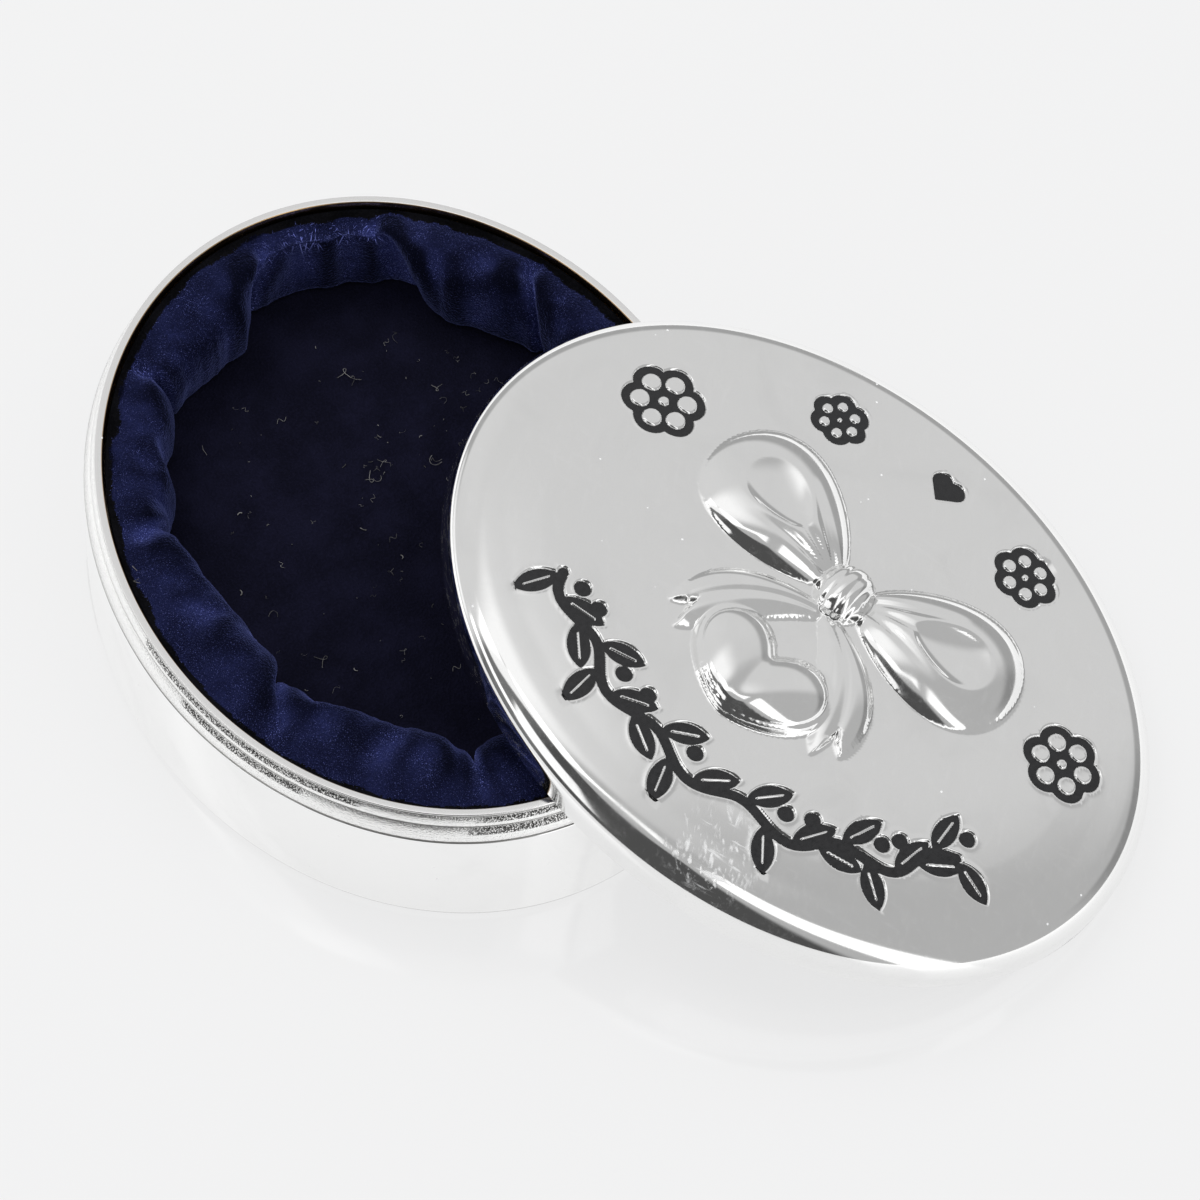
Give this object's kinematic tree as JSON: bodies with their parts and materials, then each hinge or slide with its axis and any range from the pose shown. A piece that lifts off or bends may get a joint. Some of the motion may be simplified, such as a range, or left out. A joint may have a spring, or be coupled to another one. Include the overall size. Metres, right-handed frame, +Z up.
{
  "type": "baby hair keepsake box",
  "caption": "Small oval silver-plated keepsake box with a lift-off domed lid and a gathered velvet lining, open, the lid leaning on its rim.",
  "frame": {"origin": "middle of the box's flat base, on the surface that the box stands on", "axes": "+Z up, +X along the long axis of the box's oval; the lid leans on the rim towards +X and +Y"},
  "size_m": [0.0815, 0.0708, 0.0199],
  "materials": {
    "silver_plate": "polished silver plate, softly hazed on the lid's top",
    "bright_rim": "bright turned rim with ribs",
    "navy_velvet": "short-pile navy velvet",
    "grey_card": "plain grey card",
    "white_wadding": "soft white wadding",
    "black_enamel": "black enamel laid in the engraved lines"
  },
  "bodies": {
    "box": {"box_body": "silver_plate", "neck_collar": "bright_rim", "wall_card": "grey_card", "floor_card": "grey_card", "floor_wadding": "white_wadding", "floor_velvet": "navy_velvet", "wall_velvet": "navy_velvet"},
    "lid": {"lid_shell": "silver_plate", "lid_card": "grey_card", "lid_velvet": "navy_velvet"}
  },
  "joints": [
    {"name": "lid_lift", "type": "slide", "parent": "box", "child": "lid", "axis": [0, 0, 1], "range_m": [0, 0.06]}
  ]
}
